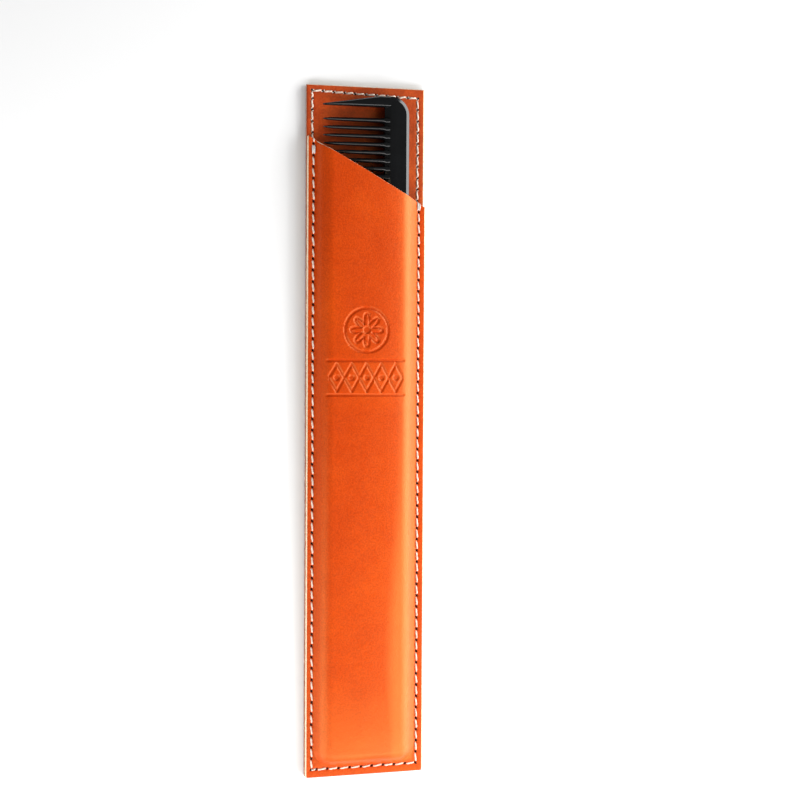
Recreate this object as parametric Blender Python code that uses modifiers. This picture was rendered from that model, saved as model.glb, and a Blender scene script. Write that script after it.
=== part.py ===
"""A beard comb in its hand-stitched leather sheath, lying on its back.

Units are metres. +X runs across the width, +Y along the length towards the mouth, and +Z out of
the front. The origin lies under the middle of the sheath, on the surface that it rests on.
"""

import math

import bmesh
import bpy
from mathutils import Vector

# Sheath panels
SHEATH_WIDTH = 0.035
SHEATH_LENGTH = 0.1985
LEATHER = 0.0015
PANEL_GAP = 0.0001
CORNER_RADIUS = 0.0008

# Slanting mouth of the front panel, measured down from the top edge of the sheath
MOUTH_LEFT_DROP = 0.0146
MOUTH_RIGHT_DROP = 0.0342
MOUTH_PULL = 0.0005

# Seam line, measured in from the edges of the sheath
SEAM_LEFT = 0.0016
SEAM_RIGHT = 0.0020
SEAM_BOTTOM = 0.0024
SEAM_TOP_LEFT = 0.0017
SEAM_TOP_RIGHT = 0.0027

# Thread
STITCH_PITCH = 0.00328
THREAD_RADIUS = 0.0003
THREAD_CLEARANCE = 0.00006
THREAD_END_GAP = 0.0004
HOLE_THREAD_SHARE = 0.55
TACK_THREAD_SHARE = 0.9
TACK_START_LEFT = 0.0169
TACK_START_RIGHT = 0.0324
TACK_LENGTH = 0.0032
TACK_HALF_WIDTH = 0.00032
GROOVE_HALF_WIDTH = 0.00045
BACK_GROOVE_DEPTH = 0.0008
FRONT_GROOVE_DEPTH = 0.0003

# Comb
COMB_WIDTH = 0.02525
COMB_LENGTH = 0.190
COMB_CENTRE_X = -0.00065
COMB_BOTTOM_GAP = 0.0056
COMB_THICKNESS = 0.0032
COMB_TIP_THICKNESS = 0.0012
COMB_UNDERSIDE = 0.0020
COMB_SIDE_CHAMFER = 0.0008
COMB_CORNER_RADIUS = 0.0052
TOOTH_LENGTH = 0.0182
TOOTH_TAPER_LENGTH = 0.0165
TOOTH_POINT_LENGTH = 0.0028
TOOTH_NECK_SHARE = 0.86
TOOTH_TIP_SHARE = 0.3
FIRST_TOOTH_FROM_END = 0.0069
COARSE_PITCH = 0.0023
FINE_PITCH = 0.00145
COARSE_ROOT_GAP = 0.00115
FINE_ROOT_GAP = 0.00072
ROOT_NOTCH = 0.0004
GUARD_ROOT_WIDTH = 0.0030
GUARD_TIP_DROP = 0.0026
GUARD_SHOULDER = 0.0165
GUARD_TIP_WIDTH = 0.0005
GUARD_FILLET_RUN = 0.0006
GUARD_FILLET_DROP = 0.0008
END_TOOTH_FILLET = 0.0005

# Moulded bulge of the front panel, over the comb. Each slope is (angle, bend radius at its foot,
# bend radius at its top), at the middle of the leather.
BULGE_START_LEFT = 0.0021
BULGE_START_RIGHT = 0.00243
BULGE_START_BOTTOM = 0.0029
BULGE_CORNER_RADIUS = 0.0052
BULGE_CLEARANCE = 0.0003
LEFT_SLOPE = (math.radians(75.0), 0.0008, 0.0013)
RIGHT_SLOPE = (math.radians(55.0), 0.0009, 0.0022)
BOTTOM_SLOPE = (math.radians(72.0), 0.0008, 0.0013)

# Lines of the front panel's mesh: shares of a slope's two bends, shares of the face's width, and
# heights above the bottom edge, the last two with a share of the mouth's slant
FOOT_BEND_SHARES = (0.0, 0.5, 0.82, 1.0)
TOP_BEND_SHARES = (1.0, 0.85, 0.62, 0.33, 0.0)
FACE_SHARES = (0.03, 0.08, 0.3, 0.5, 0.7, 0.95)
CORNER_LINE_GAP = 0.0012
FACE_LINES = ((0.040, 0.0), (0.085, 0.0), (0.130, 0.1), (0.150, 0.5))
MOUTH_LINE_GAP = 0.003
MOUTH_LINE_SLANT = 0.9

WELD_DISTANCE = 0.000001
CUTTER_OVERHANG = 0.001
CHAMFER_OVERHANG = 0.0002

LEFT_EDGE = -SHEATH_WIDTH / 2
RIGHT_EDGE = SHEATH_WIDTH / 2
TOP_EDGE = SHEATH_LENGTH / 2
BOTTOM_EDGE = -SHEATH_LENGTH / 2
FLANGE_UNDERSIDE = LEATHER + PANEL_GAP
FLANGE_TOP = FLANGE_UNDERSIDE + LEATHER
COMB_MIDDLE = COMB_UNDERSIDE + COMB_THICKNESS / 2
COMB_TOP = COMB_UNDERSIDE + COMB_THICKNESS
COMB_BOTTOM_END = BOTTOM_EDGE + COMB_BOTTOM_GAP
BULGE_RISE = COMB_TOP + BULGE_CLEARANCE - FLANGE_UNDERSIDE


def clear_scene():
    for item in list(bpy.data.objects):
        bpy.data.objects.remove(item, do_unlink=True)


def new_collection(name):
    collection = bpy.data.collections.new(name)
    bpy.context.scene.collection.children.link(collection)
    return collection


def new_material(name, colour, roughness):
    material = bpy.data.materials.new(name)
    material.use_nodes = True
    shader = material.node_tree.nodes["Principled BSDF"]
    shader.inputs["Base Color"].default_value = (*colour, 1.0)
    shader.inputs["Roughness"].default_value = roughness
    shader.inputs["Metallic"].default_value = 0.0
    return material


def add_object(name, data, collection, material=None):
    made = bpy.data.objects.new(name, data)
    collection.objects.link(made)
    if material:
        data.materials.append(material)
    return made


def mesh_from_curve(name, curve_data, collection, material=None, location=(0, 0, 0)):
    """Turns a curve into a mesh object whose caps are welded to its sides."""
    source = bpy.data.objects.new(name + "_curve", curve_data)
    source.location = location
    collection.objects.link(source)
    bpy.context.view_layer.update()
    evaluated = source.evaluated_get(bpy.context.evaluated_depsgraph_get())
    mesh = bpy.data.meshes.new_from_object(evaluated)
    matrix = source.matrix_world.copy()
    bpy.data.objects.remove(source)
    shape = bmesh.new()
    shape.from_mesh(mesh)
    bmesh.ops.remove_doubles(shape, verts=shape.verts, dist=WELD_DISTANCE)
    shape.to_mesh(mesh)
    shape.free()
    mesh.name = name
    mesh.materials.clear()
    made = add_object(name, mesh, collection, material)
    made.matrix_world = matrix
    return made


def outline_curve(name, outlines, half_thickness):
    """A flat filled curve through closed outlines, thick by twice half_thickness."""
    curve = bpy.data.curves.new(name, "CURVE")
    curve.dimensions = "2D"
    curve.fill_mode = "BOTH"
    curve.extrude = half_thickness
    for outline in outlines:
        spline = curve.splines.new("POLY")
        spline.points.add(len(outline) - 1)
        for point, (x, y) in zip(spline.points, outline):
            point.co = (x, y, 0.0, 1.0)
        spline.use_cyclic_u = True
    return curve


def tube_curve(name, path, closed, bevel_resolution):
    """A round tube along path, a list of (point, share of the full radius)."""
    curve = bpy.data.curves.new(name, "CURVE")
    curve.dimensions = "3D"
    curve.bevel_depth = THREAD_RADIUS
    curve.bevel_resolution = bevel_resolution
    curve.use_fill_caps = True
    spline = curve.splines.new("POLY")
    spline.points.add(len(path) - 1)
    for point, (place, share) in zip(spline.points, path):
        point.co = (*place, 1.0)
        point.radius = share
    spline.use_cyclic_u = closed
    return curve


def arc(centre_x, centre_y, radius, start_degrees, end_degrees, steps):
    points = []
    for step in range(steps + 1):
        angle = math.radians(start_degrees + (end_degrees - start_degrees) * step / steps)
        points.append((centre_x + radius * math.cos(angle), centre_y + radius * math.sin(angle)))
    return points


def rounded_rectangle(left, right, bottom, top, radius, steps):
    outline = arc(right - radius, top - radius, radius, 0, 90, steps)
    outline += arc(left + radius, top - radius, radius, 90, 180, steps)
    outline += arc(left + radius, bottom + radius, radius, 180, 270, steps)
    outline += arc(right - radius, bottom + radius, radius, 270, 360, steps)
    return outline


def cut(target, cutter, operation):
    cutter.hide_render = True
    cutter.display_type = "WIRE"
    modifier = target.modifiers.new(operation.lower(), "BOOLEAN")
    modifier.operation = operation
    modifier.solver = "EXACT"
    modifier.object = cutter


# Seam line and stitches


def seam_corners():
    """Top left, top right, bottom right and bottom left corners of the seam line."""
    left = LEFT_EDGE + SEAM_LEFT
    right = RIGHT_EDGE - SEAM_RIGHT
    bottom = BOTTOM_EDGE + SEAM_BOTTOM
    return (
        Vector((left, TOP_EDGE - SEAM_TOP_LEFT)),
        Vector((right, TOP_EDGE - SEAM_TOP_RIGHT)),
        Vector((right, bottom)),
        Vector((left, bottom)),
    )


def stitched_run(corners, height):
    """A thread along a run of straight seams: thin at each hole, full between two holes."""
    path = []
    for start, end in zip(corners, corners[1:]):
        stitches = max(1, round((end - start).length / STITCH_PITCH))
        for index in range(stitches):
            hole = start.lerp(end, index / stitches)
            middle = start.lerp(end, (index + 0.5) / stitches)
            path.append(((hole.x, hole.y, height), HOLE_THREAD_SHARE))
            path.append(((middle.x, middle.y, height), 1.0))
    return path


def build_top_thread(collection, material):
    """The row in the bare back panel's groove: up the left side, across the top, down the right."""
    top_left, top_right, _, _ = seam_corners()
    low_left = Vector((top_left.x, TOP_EDGE - mouth_drop(top_left.x) + THREAD_END_GAP))
    low_right = Vector((top_right.x, TOP_EDGE - mouth_drop(top_right.x) + THREAD_END_GAP))
    height = LEATHER - FRONT_GROOVE_DEPTH + THREAD_CLEARANCE + THREAD_RADIUS
    path = stitched_run((low_left, top_left, top_right, low_right), height)
    path.append(((low_right.x, low_right.y, height), HOLE_THREAD_SHARE))
    curve = tube_curve("top_thread", path, closed=False, bevel_resolution=0)
    return mesh_from_curve("top_thread", curve, collection, material)


def build_pocket_thread(collection, material):
    """The row that closes the pocket: down the left side, across the bottom, up the right."""
    top_left, top_right, bottom_right, bottom_left = seam_corners()
    tack_end_left = TOP_EDGE - TACK_START_LEFT - TACK_LENGTH - THREAD_END_GAP
    tack_end_right = TOP_EDGE - TACK_START_RIGHT - TACK_LENGTH - THREAD_END_GAP
    start = Vector((top_left.x, tack_end_left))
    end = Vector((top_right.x, tack_end_right))
    height = FLANGE_TOP + THREAD_CLEARANCE + THREAD_RADIUS
    path = stitched_run((start, bottom_left, bottom_right, end), height)
    path.append(((end.x, end.y, height), HOLE_THREAD_SHARE))
    curve = tube_curve("pocket_thread", path, closed=False, bevel_resolution=0)
    return mesh_from_curve("pocket_thread", curve, collection, material)


def build_back_thread(collection, material):
    """The row on the underside, sunk in its groove so that the back rests flat."""
    corners = seam_corners()
    path = stitched_run((*corners, corners[0]), THREAD_CLEARANCE + THREAD_RADIUS)
    curve = tube_curve("back_thread", path, closed=True, bevel_resolution=0)
    return mesh_from_curve("back_thread", curve, collection, material)


def build_tack(name, x, start_drop, collection, material):
    """Doubled stitch at a corner of the mouth: one loop whose two strands lie side by side."""
    half_run = TACK_LENGTH / 2 - TACK_HALF_WIDTH
    middle_y = TOP_EDGE - start_drop - TACK_LENGTH / 2
    loop = arc(x, middle_y + half_run, TACK_HALF_WIDTH, 0, 180, 4)
    loop += arc(x, middle_y - half_run, TACK_HALF_WIDTH, 180, 360, 4)
    height = FLANGE_TOP + THREAD_CLEARANCE + THREAD_RADIUS
    path = [((px, py, height), TACK_THREAD_SHARE) for px, py in loop]
    curve = tube_curve(name, path, closed=True, bevel_resolution=1)
    return mesh_from_curve(name, curve, collection, material)


# Leather panels


def build_back_panel(collection, cutters, material):
    """The full rectangle, with a groove for the thread round each of its faces."""
    outline = rounded_rectangle(
        LEFT_EDGE, RIGHT_EDGE, BOTTOM_EDGE, TOP_EDGE, CORNER_RADIUS, steps=3
    )
    curve = outline_curve("back_panel", [outline], LEATHER / 2)
    panel = mesh_from_curve("back_panel", curve, collection, material, (0, 0, LEATHER / 2))
    rings = []
    for side in (1, -1):
        offset = side * GROOVE_HALF_WIDTH
        top_left, top_right, bottom_right, bottom_left = seam_corners()
        rings.append(
            [
                (top_left.x - offset, top_left.y + offset),
                (top_right.x + offset, top_right.y + offset),
                (bottom_right.x + offset, bottom_right.y - offset),
                (bottom_left.x - offset, bottom_left.y - offset),
            ]
        )
    grooves = (("back_groove", BACK_GROOVE_DEPTH, 0.0), ("front_groove", FRONT_GROOVE_DEPTH, LEATHER))
    for name, depth, face_height in grooves:
        curve = outline_curve(name, rings, depth)
        groove = mesh_from_curve(name, curve, cutters, location=(0, 0, face_height))
        cut(panel, groove, "DIFFERENCE")
    return panel


def slope_runs(slope):
    """Level runs of a slope's foot bend, straight stretch and top bend."""
    angle, foot_radius, top_radius = slope
    bend_rise = (foot_radius + top_radius) * (1 - math.cos(angle))
    straight_run = (BULGE_RISE - bend_rise) / math.tan(angle)
    return foot_radius * math.sin(angle), straight_run, top_radius * math.sin(angle)


def slope_height(depth, slope):
    """Rise of the moulded wall, depth inside the foot of the slope."""
    angle, foot_radius, top_radius = slope
    foot_run, straight_run, top_run = slope_runs(slope)
    whole_run = foot_run + straight_run + top_run
    if depth <= 0:
        return 0.0
    if depth < foot_run:
        return foot_radius - math.sqrt(foot_radius**2 - depth**2)
    if depth < foot_run + straight_run:
        return foot_radius * (1 - math.cos(angle)) + (depth - foot_run) * math.tan(angle)
    if depth < whole_run:
        left = whole_run - depth
        return BULGE_RISE - top_radius + math.sqrt(top_radius**2 - left**2)
    return BULGE_RISE


def slope_stations(slope):
    """Distances inside the foot of a slope where the wall's mesh needs a line of points."""
    foot_run, straight_run, top_run = slope_runs(slope)
    whole_run = foot_run + straight_run + top_run
    stations = [share * foot_run for share in FOOT_BEND_SHARES]
    stations += [whole_run - share * top_run for share in TOP_BEND_SHARES]
    return stations


def bulge_height(x, y):
    """Rise of the moulded wall over the flange, with rounded bottom corners."""
    from_left = x - (LEFT_EDGE + BULGE_START_LEFT)
    from_right = (RIGHT_EDGE - BULGE_START_RIGHT) - x
    from_bottom = y - (BOTTOM_EDGE + BULGE_START_BOTTOM)
    from_side, side_slope = min((from_left, LEFT_SLOPE), (from_right, RIGHT_SLOPE))
    radius = BULGE_CORNER_RADIUS
    if from_side < radius and from_bottom < radius:
        across = radius - from_side
        along = radius - from_bottom
        depth = radius - math.hypot(across, along)
        bottom_share = math.atan2(along, across) / math.radians(90.0)
        side_height = slope_height(depth, side_slope)
        bottom_height = slope_height(depth, BOTTOM_SLOPE)
        return side_height + bottom_share * (bottom_height - side_height)
    return min(slope_height(from_side, side_slope), slope_height(from_bottom, BOTTOM_SLOPE))


def mouth_drop(x):
    """How far the mouth's edge lies below the top edge of the sheath at x."""
    share = (x - LEFT_EDGE) / SHEATH_WIDTH
    straight = MOUTH_LEFT_DROP + share * (MOUTH_RIGHT_DROP - MOUTH_LEFT_DROP)
    pulled = MOUTH_PULL * bulge_height(x, 0.0) / BULGE_RISE
    return straight + pulled


def panel_columns():
    left_foot = LEFT_EDGE + BULGE_START_LEFT
    right_foot = RIGHT_EDGE - BULGE_START_RIGHT
    columns = [LEFT_EDGE, LEFT_EDGE + CORNER_RADIUS]
    columns += [left_foot + station for station in slope_stations(LEFT_SLOPE)]
    inner_left = columns[-1]
    right_columns = [right_foot - station for station in reversed(slope_stations(RIGHT_SLOPE))]
    inner_right = right_columns[0]
    for share in FACE_SHARES:
        columns.append(inner_left + share * (inner_right - inner_left))
    return columns + right_columns + [RIGHT_EDGE - CORNER_RADIUS, RIGHT_EDGE]


def panel_rows():
    """Rows as (height above the bottom edge, share of the way to the mouth's slant)."""
    rows = [(0.0, 0.0), (CORNER_RADIUS, 0.0)]
    rows += [(BULGE_START_BOTTOM + station, 0.0) for station in slope_stations(BOTTOM_SLOPE)]
    corner_end = BULGE_START_BOTTOM + BULGE_CORNER_RADIUS
    rows += [(corner_end - CORNER_LINE_GAP, 0.0), (corner_end, 0.0)]
    rows += FACE_LINES
    near_mouth = SHEATH_LENGTH - MOUTH_RIGHT_DROP - MOUTH_LINE_GAP
    return rows + [(near_mouth, MOUTH_LINE_SLANT), (SHEATH_LENGTH, 1.0)]


def row_height(x, row):
    """Y of a row at column x: level at the bottom and along the slant at the mouth."""
    height, slant = row
    mouth = SHEATH_LENGTH - mouth_drop(x)
    lowest_mouth = SHEATH_LENGTH - MOUTH_RIGHT_DROP
    level = min(height, lowest_mouth)
    return BOTTOM_EDGE + level + slant * (mouth - lowest_mouth)


def build_front_panel(collection, material):
    """The wet-moulded front: a grid raised over the comb and thickened to the leather."""
    columns = panel_columns()
    rows = panel_rows()
    shape = bmesh.new()
    bmesh.ops.create_grid(shape, x_segments=len(columns) - 1, y_segments=len(rows) - 1, size=0.5)
    middle = FLANGE_UNDERSIDE + LEATHER / 2
    for vertex in shape.verts:
        column = round((vertex.co.x + 0.5) * (len(columns) - 1))
        row = round((vertex.co.y + 0.5) * (len(rows) - 1))
        x = columns[column]
        y = row_height(x, rows[row])
        vertex.co = (x, y, middle + bulge_height(x, y))
    corner_x = (LEFT_EDGE, RIGHT_EDGE)
    corners = [v for v in shape.verts if v.co.y == BOTTOM_EDGE and v.co.x in corner_x]
    inset = CORNER_RADIUS * (1 - math.sqrt(0.5))
    for vertex in corners:
        vertex.co.x -= math.copysign(inset, vertex.co.x)
        vertex.co.y += inset
    mesh = bpy.data.meshes.new("front_panel")
    shape.to_mesh(mesh)
    shape.free()
    panel = add_object("front_panel", mesh, collection, material)
    thick = panel.modifiers.new("leather", "SOLIDIFY")
    thick.thickness = LEATHER
    thick.offset = 0.0
    thick.use_even_offset = True
    return panel


# Comb


def tooth_centres():
    """Y of every tooth above the comb's bottom end, with the pitch of its half."""
    centres = []
    place = COMB_LENGTH - FIRST_TOOTH_FROM_END
    while place > COMB_LENGTH / 2:
        centres.append((place, COARSE_PITCH, COARSE_ROOT_GAP))
        place -= COARSE_PITCH
    while place > FIRST_TOOTH_FROM_END - FINE_PITCH / 2:
        centres.append((place, FINE_PITCH, FINE_ROOT_GAP))
        place -= FINE_PITCH
    return centres


def tooth_outline(centre, pitch, root_gap):
    """One tooth from its upper root to its lower root, with a tapered point."""
    half_root = (pitch - root_gap) / 2
    half_neck = half_root * TOOTH_NECK_SHARE
    half_tip = half_root * TOOTH_TIP_SHARE
    root = TOOTH_LENGTH
    neck = TOOTH_POINT_LENGTH
    return [
        (root, centre + half_root),
        (neck, centre + half_neck),
        (0.0, centre + half_tip),
        (0.0, centre - half_tip),
        (neck, centre - half_neck),
        (root, centre - half_root),
    ]


def gap_root(upper, lower):
    """The point of the V at the root of a gap between two teeth."""
    upper_edge = upper[0] - (upper[1] - upper[2]) / 2
    lower_edge = lower[0] + (lower[1] - lower[2]) / 2
    return (TOOTH_LENGTH + ROOT_NOTCH, (upper_edge + lower_edge) / 2)


def guard_outline(top):
    """The guard tooth at the upper end, from its shoulder to its inner root."""
    return [
        (GUARD_SHOULDER, top),
        (0.0, top - GUARD_TIP_DROP),
        (0.0, top - GUARD_TIP_DROP - GUARD_TIP_WIDTH),
        (TOOTH_LENGTH - GUARD_FILLET_RUN, top - GUARD_ROOT_WIDTH),
        (TOOTH_LENGTH + ROOT_NOTCH, top - GUARD_ROOT_WIDTH - GUARD_FILLET_DROP),
    ]


def comb_outline():
    """Closed outline: x from the tooth tips to the spine's back, y up from the bottom end."""
    radius = COMB_CORNER_RADIUS
    outline = arc(COMB_WIDTH - radius, radius, radius, -90, 0, 6)
    outline += arc(COMB_WIDTH - radius, COMB_LENGTH - radius, radius, 0, 90, 6)
    outline += guard_outline(COMB_LENGTH)
    teeth = tooth_centres()
    notch_x = TOOTH_LENGTH + ROOT_NOTCH
    first = teeth[0]
    outline.append((notch_x, first[0] + (first[1] - first[2]) / 2 + END_TOOTH_FILLET))
    for upper, lower in zip(teeth, teeth[1:]):
        outline += tooth_outline(*upper)
        outline.append(gap_root(upper, lower))
    last = teeth[-1]
    outline += tooth_outline(*last)
    outline.append((notch_x, last[0] - (last[1] - last[2]) / 2 - END_TOOTH_FILLET))
    outline += [(x, COMB_LENGTH - y) for x, y in reversed(guard_outline(COMB_LENGTH))]
    return outline


def comb_section():
    """Half section across the comb, from the thin tooth tips to the chamfered back."""
    half = COMB_THICKNESS / 2
    half_tip = COMB_TIP_THICKNESS / 2
    chamfer = COMB_SIDE_CHAMFER
    upper = [
        (-CUTTER_OVERHANG, half_tip),
        (0.0, half_tip),
        (TOOTH_TAPER_LENGTH, half),
        (COMB_WIDTH - chamfer, half),
        (COMB_WIDTH + CHAMFER_OVERHANG, half - chamfer - CHAMFER_OVERHANG),
    ]
    return upper + [(x, -z) for x, z in reversed(upper)]


def build_comb(collection, cutters, material):
    """The toothed outline, kept where it meets the wedge section."""
    left = COMB_CENTRE_X - COMB_WIDTH / 2
    outline = outline_curve("comb", [comb_outline()], COMB_THICKNESS)
    place = (left, COMB_BOTTOM_END, COMB_MIDDLE)
    comb = mesh_from_curve("comb", outline, collection, material, place)
    section = outline_curve("comb_section", [comb_section()], COMB_LENGTH / 2 + CUTTER_OVERHANG)
    wedge = mesh_from_curve("comb_section", section, cutters)
    wedge.rotation_euler = (math.radians(90), 0, 0)
    wedge.location = (left, COMB_BOTTOM_END + COMB_LENGTH / 2, COMB_MIDDLE)
    cut(comb, wedge, "INTERSECT")
    return comb


def build():
    clear_scene()
    parts = new_collection("beard_comb")
    cutters = new_collection("cutters")
    leather = new_material("tan_leather", (0.60, 0.09, 0.012), 0.45)
    back_leather = new_material("tan_leather_back", (0.55, 0.08, 0.012), 0.55)
    thread = new_material("waxed_thread", (0.87, 0.78, 0.66), 0.7)
    comb_black = new_material("black_comb", (0.006, 0.006, 0.007), 0.25)

    build_back_panel(parts, cutters, back_leather)
    build_front_panel(parts, leather)
    build_comb(parts, cutters, comb_black)
    build_top_thread(parts, thread)
    build_pocket_thread(parts, thread)
    build_back_thread(parts, thread)
    left_seam, right_seam, _, _ = seam_corners()
    build_tack("left_mouth_tack", left_seam.x, TACK_START_LEFT, parts, thread)
    build_tack("right_mouth_tack", right_seam.x, TACK_START_RIGHT, parts, thread)


build()
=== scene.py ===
"""Looks of a beard comb in its stitched leather sheath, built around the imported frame.

Metres, in the frame's axes: +X across, +Y along the length towards the mouth, +Z out of the front.
"""

import math

import bmesh
import bpy
import numpy as np
from mathutils import Matrix, Vector


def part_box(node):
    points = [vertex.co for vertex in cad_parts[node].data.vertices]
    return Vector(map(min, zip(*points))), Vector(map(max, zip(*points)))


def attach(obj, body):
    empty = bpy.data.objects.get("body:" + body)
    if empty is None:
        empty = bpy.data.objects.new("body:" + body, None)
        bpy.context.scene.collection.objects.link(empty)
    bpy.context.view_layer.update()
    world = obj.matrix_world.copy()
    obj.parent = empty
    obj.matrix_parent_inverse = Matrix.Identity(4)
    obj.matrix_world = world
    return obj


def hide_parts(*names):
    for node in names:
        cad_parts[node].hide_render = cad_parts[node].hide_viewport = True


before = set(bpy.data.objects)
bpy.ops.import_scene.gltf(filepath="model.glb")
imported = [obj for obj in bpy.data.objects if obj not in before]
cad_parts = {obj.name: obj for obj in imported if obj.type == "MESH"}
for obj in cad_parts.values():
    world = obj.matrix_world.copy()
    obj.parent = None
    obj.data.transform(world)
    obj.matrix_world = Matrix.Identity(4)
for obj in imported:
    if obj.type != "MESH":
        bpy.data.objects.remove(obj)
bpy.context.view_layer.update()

MM = 0.001
TINY = 1e-9

# Places read from the frame
back_low, back_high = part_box("back_panel")
front_low, front_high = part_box("front_panel")
comb_low, comb_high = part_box("comb")
LEFT_EDGE, RIGHT_EDGE = back_low.x, back_high.x
BOTTOM_EDGE, TOP_EDGE = back_low.y, back_high.y
WIDTH = RIGHT_EDGE - LEFT_EDGE
LEATHER = back_high.z - back_low.z
FLANGE_UNDERSIDE = front_low.z
FLANGE_TOP = FLANGE_UNDERSIDE + LEATHER
BULGE_RISE = front_high.z - FLANGE_TOP

# Mouth and seam, as in the frame
MOUTH_LEFT_DROP = 14.6 * MM
MOUTH_RIGHT_DROP = 34.2 * MM
MOUTH_PULL = 0.5 * MM
SEAM_LEFT = 1.6 * MM
SEAM_RIGHT = 2.0 * MM
SEAM_BOTTOM = 2.4 * MM
SEAM_TOP_LEFT = 1.7 * MM
SEAM_TOP_RIGHT = 2.7 * MM
STITCH_PITCH = 3.28 * MM
FIRST_LEFT_STITCH = 2.2 * MM
FIRST_BOTTOM_STITCH = 1.5 * MM
LEFT_TACK_STITCH = 5
RIGHT_TACK_STITCH = 9

# Moulded bulge: each slope is (angle, bend radius at its foot, bend radius at its top)
BULGE_START_LEFT = 2.1 * MM
BULGE_START_RIGHT = 2.43 * MM
BULGE_START_BOTTOM = 2.9 * MM
BULGE_CORNER_RADIUS = 5.2 * MM
LEFT_SLOPE = (math.radians(60.0), 1.0 * MM, 3.6 * MM)
RIGHT_SLOPE = (math.radians(50.0), 0.8 * MM, 4.2 * MM)
BOTTOM_SLOPE = (math.radians(62.0), 0.9 * MM, 2.6 * MM)

CROWN_X = 4.0 * MM
CROWN_RISE = 0.17 * MM
# How far the face falls by the end of each span: towards the teeth, the spine and the bottom
TEETH_FALL, TEETH_SPAN = 1.05 * MM, 17.0 * MM
SPINE_FALL, SPINE_SPAN = 0.38 * MM, 6.2 * MM
BOTTOM_FALL, BOTTOM_SPAN = 0.34 * MM, 8.0 * MM
BOTTOM_FALL_Y = -86.0 * MM
# Moulding draws the leather thin where it bends over the comb
THINNING = 0.72 * MM
THINNED_TILT = 0.03
THINNING_RISE = 1.0 * MM

THREAD_RADIUS = 0.29 * MM
BACK_GROOVE_DEPTH = 0.62 * MM
EDGE_INSET = 0.28 * MM
CORNER_RADIUS = 0.9 * MM
TOP_CORNER_RADIUS = CORNER_RADIUS / 2

random = np.random.default_rng(11)


# Meshes


def mesh_object(name, vertices, faces, materials, face_slots=None, sharp_degrees=35.0):
    mesh = bpy.data.meshes.new(name)
    mesh.from_pydata([tuple(v) for v in vertices], [], faces)
    for material in materials:
        mesh.materials.append(material)
    if face_slots is not None:
        mesh.polygons.foreach_set("material_index", np.asarray(face_slots, np.int32))
    mesh.shade_smooth()
    mesh.set_sharp_from_angle(angle=math.radians(sharp_degrees))
    mesh.update()
    made = bpy.data.objects.new(name, mesh)
    bpy.context.scene.collection.objects.link(made)
    return made


def apply_boolean(target, cutter, operation):
    """Cuts or joins target with cutter for good, and removes the cutter."""
    modifier = target.modifiers.new(operation.lower(), "BOOLEAN")
    modifier.operation = operation
    modifier.solver = "EXACT"
    modifier.object = cutter
    modifier.material_mode = "TRANSFER"
    bpy.context.view_layer.update()
    evaluated = target.evaluated_get(bpy.context.evaluated_depsgraph_get())
    mesh = bpy.data.meshes.new_from_object(evaluated)
    target.modifiers.clear()
    target.data = mesh
    bpy.data.objects.remove(cutter)


def grid_faces(rows, columns, start=0, flip=False):
    """Quads of a grid whose points are numbered row by row from start."""
    faces = []
    for row in range(rows - 1):
        for column in range(columns - 1):
            corner = start + row * columns + column
            face = (corner, corner + 1, corner + columns + 1, corner + columns)
            faces.append(face[::-1] if flip else face)
    return faces


def add_tube_faces(faces, start, rings, sides, flip=False):
    """Adds the closed faces of a tube whose rings of points are numbered one by one from start."""
    for ring in range(rings - 1):
        corner = start + ring * sides
        for step in range(sides):
            beside = (step + 1) % sides
            quad = (corner + step, corner + beside, corner + beside + sides, corner + step + sides)
            faces.append(quad[:1] + quad[:0:-1] if flip else quad)
    first = tuple(range(start, start + sides))
    last = tuple(range(start + (rings - 1) * sides, start + rings * sides))
    faces += [first, last[::-1]] if flip else [first[::-1], last]


def places_through(*stretches):
    """Places through (start, end, step) stretches, each about step apart, up to the last end."""
    places = []
    for start, end, step in stretches:
        count = max(1, round((end - start) / step))
        places += list(np.linspace(start, end, count + 1)[:-1])
    return np.array(places + [stretches[-1][1]])


def smoothstep(value):
    value = np.clip(value, 0.0, 1.0)
    return value * value * (3.0 - 2.0 * value)


# Leather shape


def slope_height(depth, slope):
    """Rise of the moulded wall at each depth inside the foot of a slope."""
    angle, foot_radius, top_radius = slope
    foot_run = foot_radius * math.sin(angle)
    top_run = top_radius * math.sin(angle)
    bend_rise = (foot_radius + top_radius) * (1 - math.cos(angle))
    whole_run = foot_run + (BULGE_RISE - bend_rise) / math.tan(angle) + top_run
    foot = foot_radius - np.sqrt(np.maximum(foot_radius**2 - np.clip(depth, 0, None) ** 2, 0))
    straight = foot_radius * (1 - math.cos(angle)) + (depth - foot_run) * math.tan(angle)
    left = np.clip(whole_run - depth, 0, None)
    top = BULGE_RISE - top_radius + np.sqrt(np.maximum(top_radius**2 - left**2, 0))
    height = np.where(depth < foot_run, foot, straight)
    height = np.where(depth > whole_run - top_run, top, height)
    return np.where(depth <= 0, 0.0, np.where(depth >= whole_run, BULGE_RISE, height))


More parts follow.
